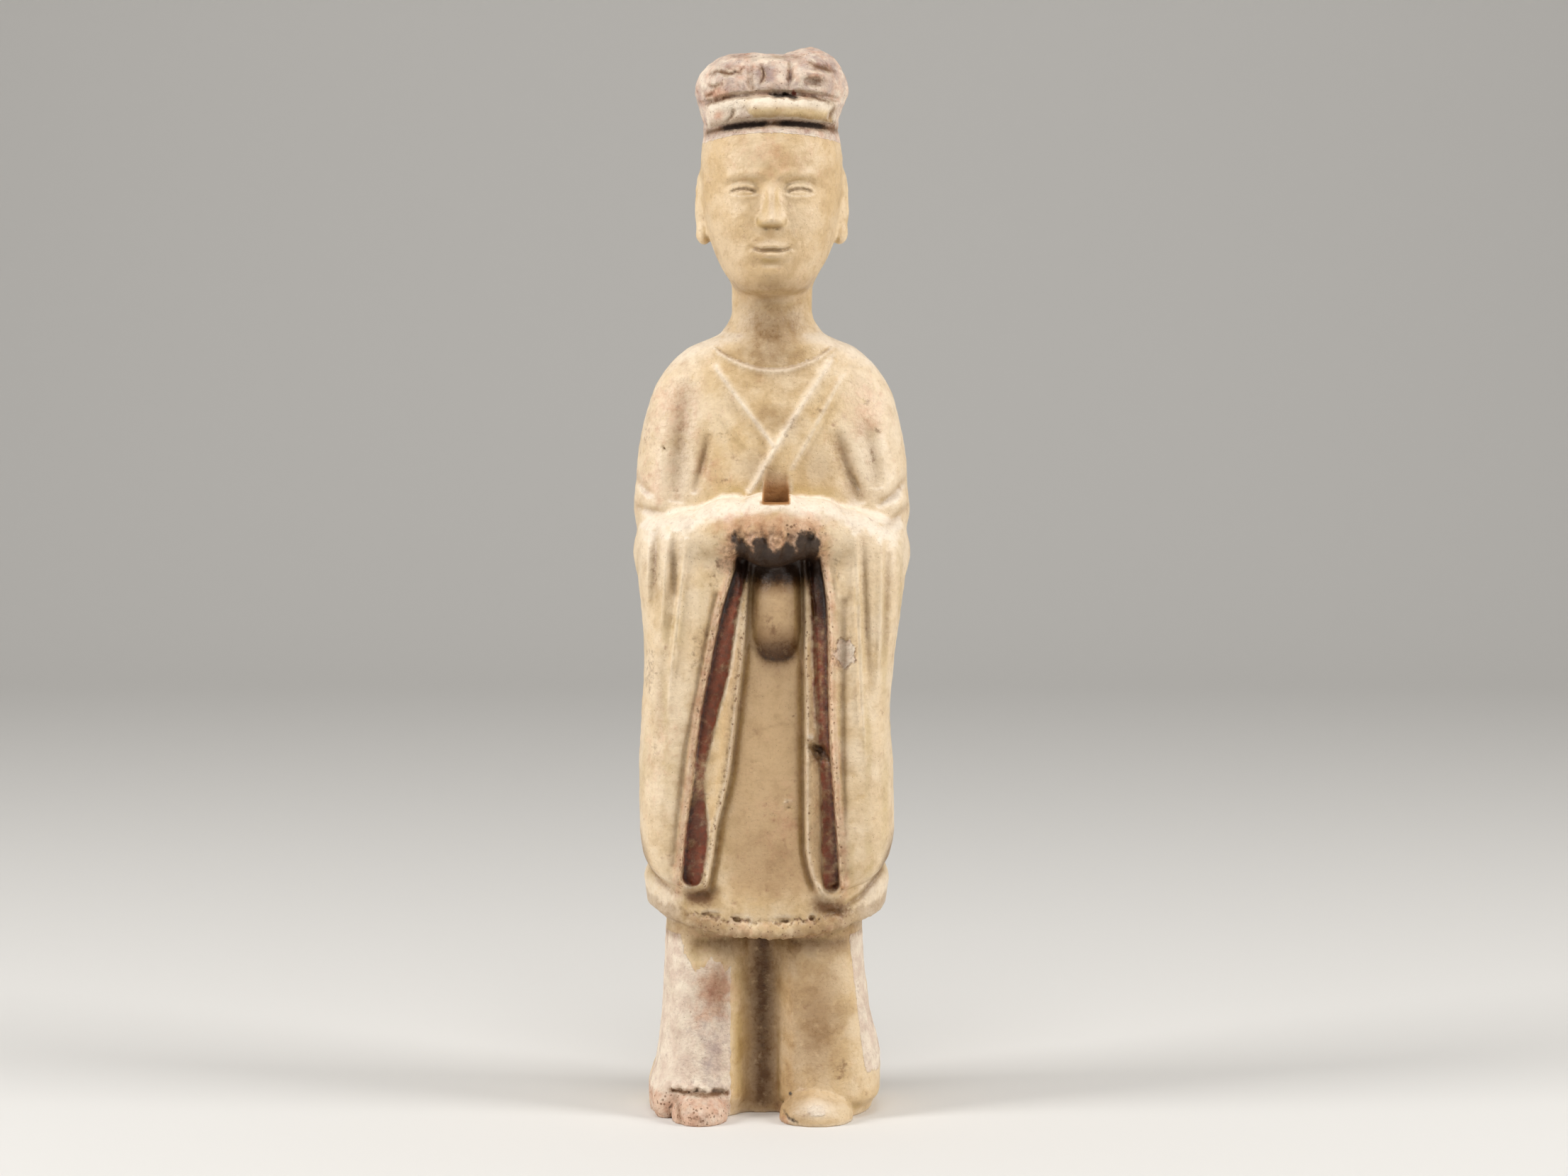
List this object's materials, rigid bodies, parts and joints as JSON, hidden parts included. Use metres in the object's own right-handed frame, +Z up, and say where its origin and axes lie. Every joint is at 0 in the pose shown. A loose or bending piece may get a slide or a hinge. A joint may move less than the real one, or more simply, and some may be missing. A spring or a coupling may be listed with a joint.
{
  "type": "court lady statuette",
  "caption": "Standing court lady in a soft cap and long robe, hands hidden in deep hanging sleeves, straw-glazed terracotta, with a small socket over the hands.",
  "frame": {"origin": "on the surface she stands on, under the middle of her bounding box", "axes": "+Z up, she faces -Y, and +X is to the viewer's right"},
  "size_m": [0.065, 0.0445, 0.25],
  "materials": {
    "clay": "thin straw-yellow crackled lead glaze over whitish slip, with bare pinkish clay and dark red pigment in places"
  },
  "bodies": {
    "root": {"court_lady": "clay"}
  },
  "joints": []
}
